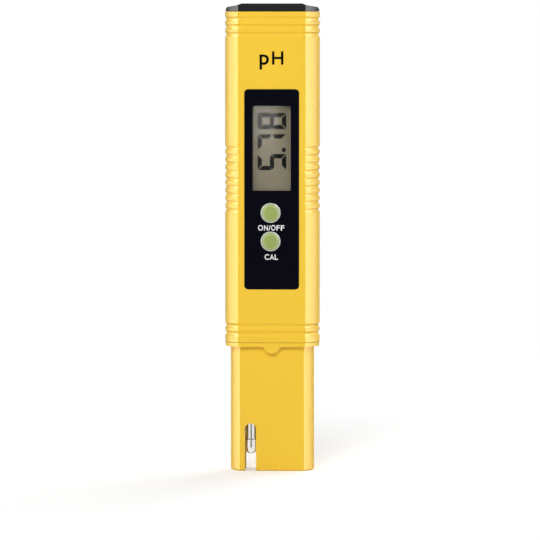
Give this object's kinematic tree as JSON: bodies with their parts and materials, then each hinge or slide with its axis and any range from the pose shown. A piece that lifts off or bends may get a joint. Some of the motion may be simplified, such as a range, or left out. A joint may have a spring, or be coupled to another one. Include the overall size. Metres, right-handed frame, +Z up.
{
  "type": "ph meter pen",
  "caption": "Slim hand-held pH meter pen with a display, two keys, a battery cap and a glass electrode in a slotted sleeve.",
  "frame": {"origin": "middle of the foot, on the surface that the sleeve's open end stands on", "axes": "+Z up along the pen from the sleeve to the cap, front with the display faces -Y, +X to the right seen from the front"},
  "size_m": [0.0304, 0.0158, 0.1502],
  "materials": {
    "housing": "satin moulded",
    "panel": "gloss",
    "window": "clear",
    "ring": "gloss",
    "key": "satin",
    "black_plastic": "satin moulded",
    "display_glass": "clear",
    "reflector": "matte",
    "white_plastic": "moulded",
    "rubber": "matte",
    "board": "solder mask",
    "epoxy": "satin",
    "ceramic": "matte",
    "steel": "satin",
    "brass": "satin",
    "silver": "polished",
    "electrode_glass": "clear",
    "red_lead": "satin"
  },
  "bodies": {
    "pen": {"front_shell": "housing", "rear_shell": "housing", "probe_guard": "housing", "display_panel": "panel", "display_window": "window", "on_off_ring": "ring", "cal_ring": "ring", "on_off_switch": "epoxy", "cal_switch": "epoxy", "lcd_front_glass": "display_glass", "lcd_rear_glass": "display_glass", "lcd_reflector": "reflector", "lcd_frame": "white_plastic", "left_contact_strip": "rubber", "right_contact_strip": "rubber", "circuit_board": "board", "controller_blob": "epoxy", "amplifier_chip": "epoxy", "chip_parts": "ceramic", "crystal": "steel", "board_screws": "steel", "positive_contact": "brass", "negative_contact": "brass", "electrode_holder": "white_plastic", "holder_seal": "rubber", "glass_electrode": "electrode_glass", "electrode_stopper": "rubber", "silver_wire": "silver", "electrode_lead": "red_lead", "reference_tube": "white_plastic", "reference_junction": "ceramic", "reference_stopper": "rubber", "reference_wire": "silver", "temperature_probe": "steel", "thermistor_leads": "red_lead"},
    "on_off_key": {"on_off_button": "key", "on_off_plunger": "black_plastic"},
    "cal_key": {"cal_button": "key", "cal_plunger": "black_plastic"},
    "batteries": {"battery_tray": "black_plastic", "battery_bridge": "brass", "battery_cell_1": "steel", "battery_cell_2": "steel"},
    "cap": {"battery_cap": "black_plastic", "cap_seal": "rubber"}
  },
  "joints": [
    {"name": "on_off_press", "type": "slide", "parent": "pen", "child": "on_off_key", "axis": [0, 1, 0], "range_m": [0, 0.0003], "stiffness_N_per_m": 1500, "springref_m": -0.0003},
    {"name": "cal_press", "type": "slide", "parent": "pen", "child": "cal_key", "axis": [0, 1, 0], "range_m": [0, 0.0003], "stiffness_N_per_m": 1500, "springref_m": -0.0003},
    {"name": "tray_slide", "type": "slide", "parent": "pen", "child": "batteries", "axis": [0, 0, 1], "range_m": [0, 0.02]},
    {"name": "cap_slide", "type": "slide", "parent": "batteries", "child": "cap", "axis": [0, 0, 1], "range_m": [0, 0.015]}
  ]
}
